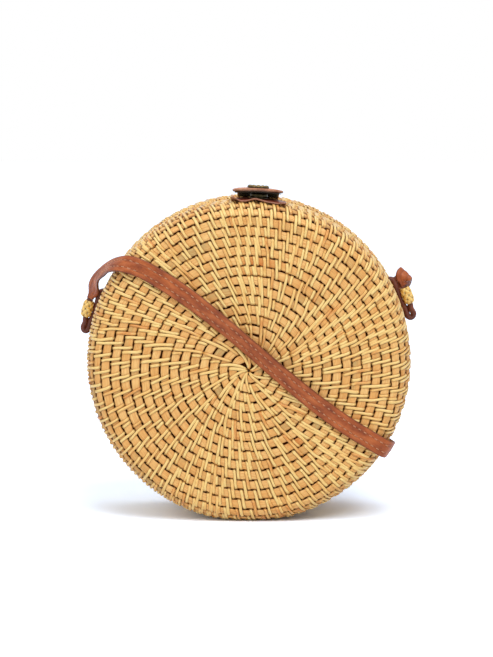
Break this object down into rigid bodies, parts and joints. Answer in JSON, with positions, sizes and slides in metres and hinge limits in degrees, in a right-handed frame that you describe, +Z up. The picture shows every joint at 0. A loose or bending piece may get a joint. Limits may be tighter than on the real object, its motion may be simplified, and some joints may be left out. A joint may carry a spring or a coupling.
{
  "type": "round woven shoulder bag",
  "caption": "Round woven cane shoulder bag: coiled halves hinged at the bottom, a leather tab with a press stud on top, and a flat leather strap through woven side rings.",
  "frame": {"origin": "on the floor under the seam between the two halves, at the middle of the flat worn into the rim", "axes": "+X to the right seen from the front, -Y towards the front face, +Z up"},
  "size_m": [0.2113, 0.0955, 0.2082],
  "materials": {
    "reed": "satin flat reed bound with thin cane",
    "cane": "glossy split cane",
    "gold_cane": "golden woven cane, small pits",
    "leather": "smooth brown leather, two stitched rows",
    "dark_leather": "dark suede side of leather",
    "snap_brass": "antique brass, dark",
    "lining_cloth": "plain cotton lining"
  },
  "bodies": {
    "back_half": {"back_face": "reed", "back_wall": "reed", "back_hoop": "cane", "back_lining": "lining_cloth", "left_gusset": "lining_cloth", "right_gusset": "lining_cloth", "hinge_lacings": "cane", "closure_root": "leather", "left_thong": "leather", "left_ring": "gold_cane", "left_anchor": "leather", "right_thong": "leather", "right_ring": "gold_cane", "right_anchor": "leather", "strap_bight": "leather", "strap_wrap": "leather", "strap_behind": "leather", "strap_slack": "leather", "strap_rise": "leather"},
    "front_half": {"front_face": "reed", "front_wall": "reed", "front_hoop": "cane", "front_lining": "lining_cloth", "closure_patch": "leather", "snap_stud": "snap_brass", "strap_front": "leather"},
    "closure": {"closure_tab": "leather", "tab_backing": "dark_leather", "snap_cap": "snap_brass", "snap_socket": "snap_brass"}
  },
  "joints": [
    {"name": "front_hinge", "type": "hinge", "parent": "back_half", "child": "front_half", "pos_m": [0, 0, 0], "axis": [1, 0, 0], "range_deg": [0, 25], "deforming": ["strap_bight", "strap_wrap", "hinge_lacings", "left_gusset", "right_gusset"]},
    {"name": "tab_hinge", "type": "hinge", "parent": "back_half", "child": "closure", "pos_m": [0.00624, 0.008, 0.20096], "axis": [-0.9981, 0, 0.061], "range_deg": [0, 120]}
  ]
}
